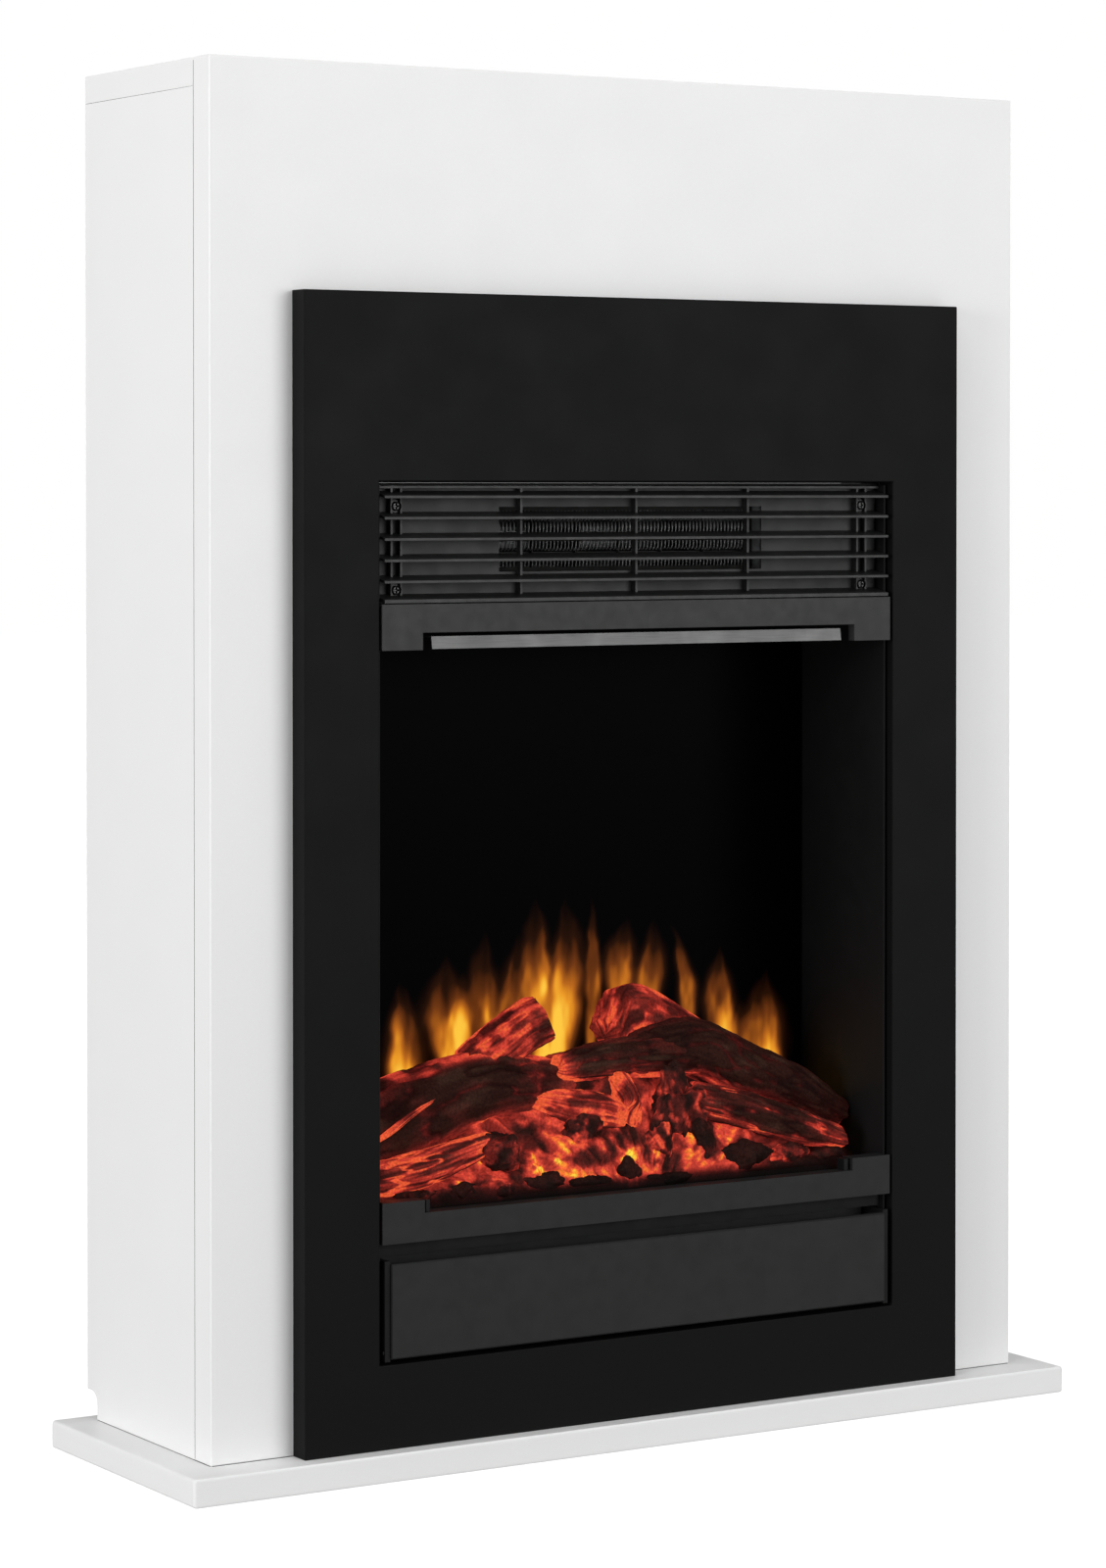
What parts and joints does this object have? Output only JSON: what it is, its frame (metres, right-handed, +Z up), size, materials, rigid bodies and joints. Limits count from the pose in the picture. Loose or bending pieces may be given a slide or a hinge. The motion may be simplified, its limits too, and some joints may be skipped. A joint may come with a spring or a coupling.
{
  "type": "electric fireplace",
  "caption": "White mantel with a black surround holding a fan heater grille, a log and ember effect with a flame screen, and a drop-down control flap.",
  "frame": {"origin": "centre of the base plate's underside, on the floor", "axes": "+Z up, the fire faces -Y, +X to the right when seen from the front"},
  "size_m": [0.676, 0.206, 0.898],
  "materials": {
    "white_board": "satin white lacquer on medium density fibreboard",
    "black_board": "satin black lacquer on medium density fibreboard",
    "raw_board": "white melamine faced board with plain cut edges",
    "black_steel": "matt black powder coat",
    "grey_steel": "dark grey satin powder coat",
    "zinc_steel": "galvanised sheet with a faint spangle",
    "motor_steel": "plain steel motor case",
    "black_screw": "black oxide",
    "heating_wire": "oxidised resistance wire",
    "mica": "pressed mica board",
    "trim_plastic": "fine satin texture, dark grey",
    "flap_plastic": "fine satin texture, black",
    "black_plastic": "moulded black",
    "gloss_plastic": "polished black",
    "knob_plastic": "moulded black with a white pointer",
    "satin_strip": "satin grey anodised",
    "ember_resin": "translucent moulded embers lit from below",
    "log_resin": "painted charred bark with red cracks",
    "flame_screen": "dark smoked screen that the flames show on",
    "mirror_sheet": "thin mirrored sheet",
    "circuit_board": "pale moulding or board",
    "rubber": "moulded bush"
  },
  "bodies": {
    "root": {"base_plate": "white_board", "side_panel_left": "white_board", "side_panel_right": "white_board", "top_board": "white_board", "front_board": "white_board", "surround_panel": "black_board", "rear_rail_top": "raw_board", "rear_rail_bottom": "raw_board", "insert_shelf": "raw_board", "wall_bracket_left": "zinc_steel", "wall_bracket_right": "zinc_steel", "casing_back": "zinc_steel", "casing_left": "black_steel", "casing_right": "black_steel", "casing_top": "black_steel", "casing_floor": "black_steel", "firebox_ceiling": "black_steel", "ember_shelf": "black_steel", "heater_face_plate": "grey_steel", "louvre_grille": "black_plastic", "grille_screw_1": "black_screw", "grille_screw_2": "black_screw", "grille_screw_3": "black_screw", "grille_screw_4": "black_screw", "heater_duct": "zinc_steel", "element_frame": "mica", "heating_wire_upper": "heating_wire", "heating_wire_lower": "heating_wire", "blower_motor": "motor_steel", "blower_scroll": "zinc_steel", "hood": "trim_plastic", "hood_strip": "satin_strip", "lower_band": "trim_plastic", "ember_bed": "ember_resin", "log_left": "log_resin", "log_stub": "log_resin", "log_middle": "log_resin", "log_top": "log_resin", "log_right": "log_resin", "flame_screen": "flame_screen", "led_board": "circuit_board", "flame_stencil": "mirror_sheet", "flicker_bush": "black_plastic", "flicker_motor": "motor_steel", "flap_bracket_left": "black_steel", "flap_bracket_right": "black_steel", "control_panel": "flap_plastic", "switch_body_1": "gloss_plastic", "switch_body_2": "gloss_plastic", "thermostat_body": "circuit_board", "cable_gland": "rubber"},
    "control_flap": {"control_flap": "flap_plastic", "flap_magnet": "zinc_steel", "hinge_pin_left": "zinc_steel", "hinge_pin_right": "zinc_steel"},
    "rocker_1": {"rocker_1": "gloss_plastic"},
    "rocker_2": {"rocker_2": "gloss_plastic"},
    "thermostat_knob": {"thermostat_knob": "knob_plastic"},
    "flicker_rotor": {"flicker_rotor": "mirror_sheet"},
    "blower_rotor": {"blower_rotor": "black_plastic"}
  },
  "joints": [
    {"name": "flap_hinge", "type": "hinge", "parent": "root", "child": "control_flap", "pos_m": [0, -0.08825, 0.0795], "axis": [1, 0, 0], "range_deg": [0, 85]},
    {"name": "rocker_1_tilt", "type": "hinge", "parent": "root", "child": "rocker_1", "pos_m": [-0.13, -0.065, 0.107], "axis": [1, 0, 0], "range_deg": [0, 18]},
    {"name": "rocker_2_tilt", "type": "hinge", "parent": "root", "child": "rocker_2", "pos_m": [-0.095, -0.065, 0.107], "axis": [1, 0, 0], "range_deg": [0, 18]},
    {"name": "thermostat_turn", "type": "hinge", "parent": "root", "child": "thermostat_knob", "pos_m": [0.12, -0.075, 0.107], "axis": [0, 1, 0], "range_deg": [0, 270]},
    {"name": "flicker_spin", "type": "hinge", "parent": "root", "child": "flicker_rotor", "pos_m": [0, 0.039, 0.183], "axis": [1, 0, 0], "continuous": true},
    {"name": "blower_spin", "type": "hinge", "parent": "root", "child": "blower_rotor", "pos_m": [0, 0.013, 0.5955], "axis": [1, 0, 0], "continuous": true}
  ]
}
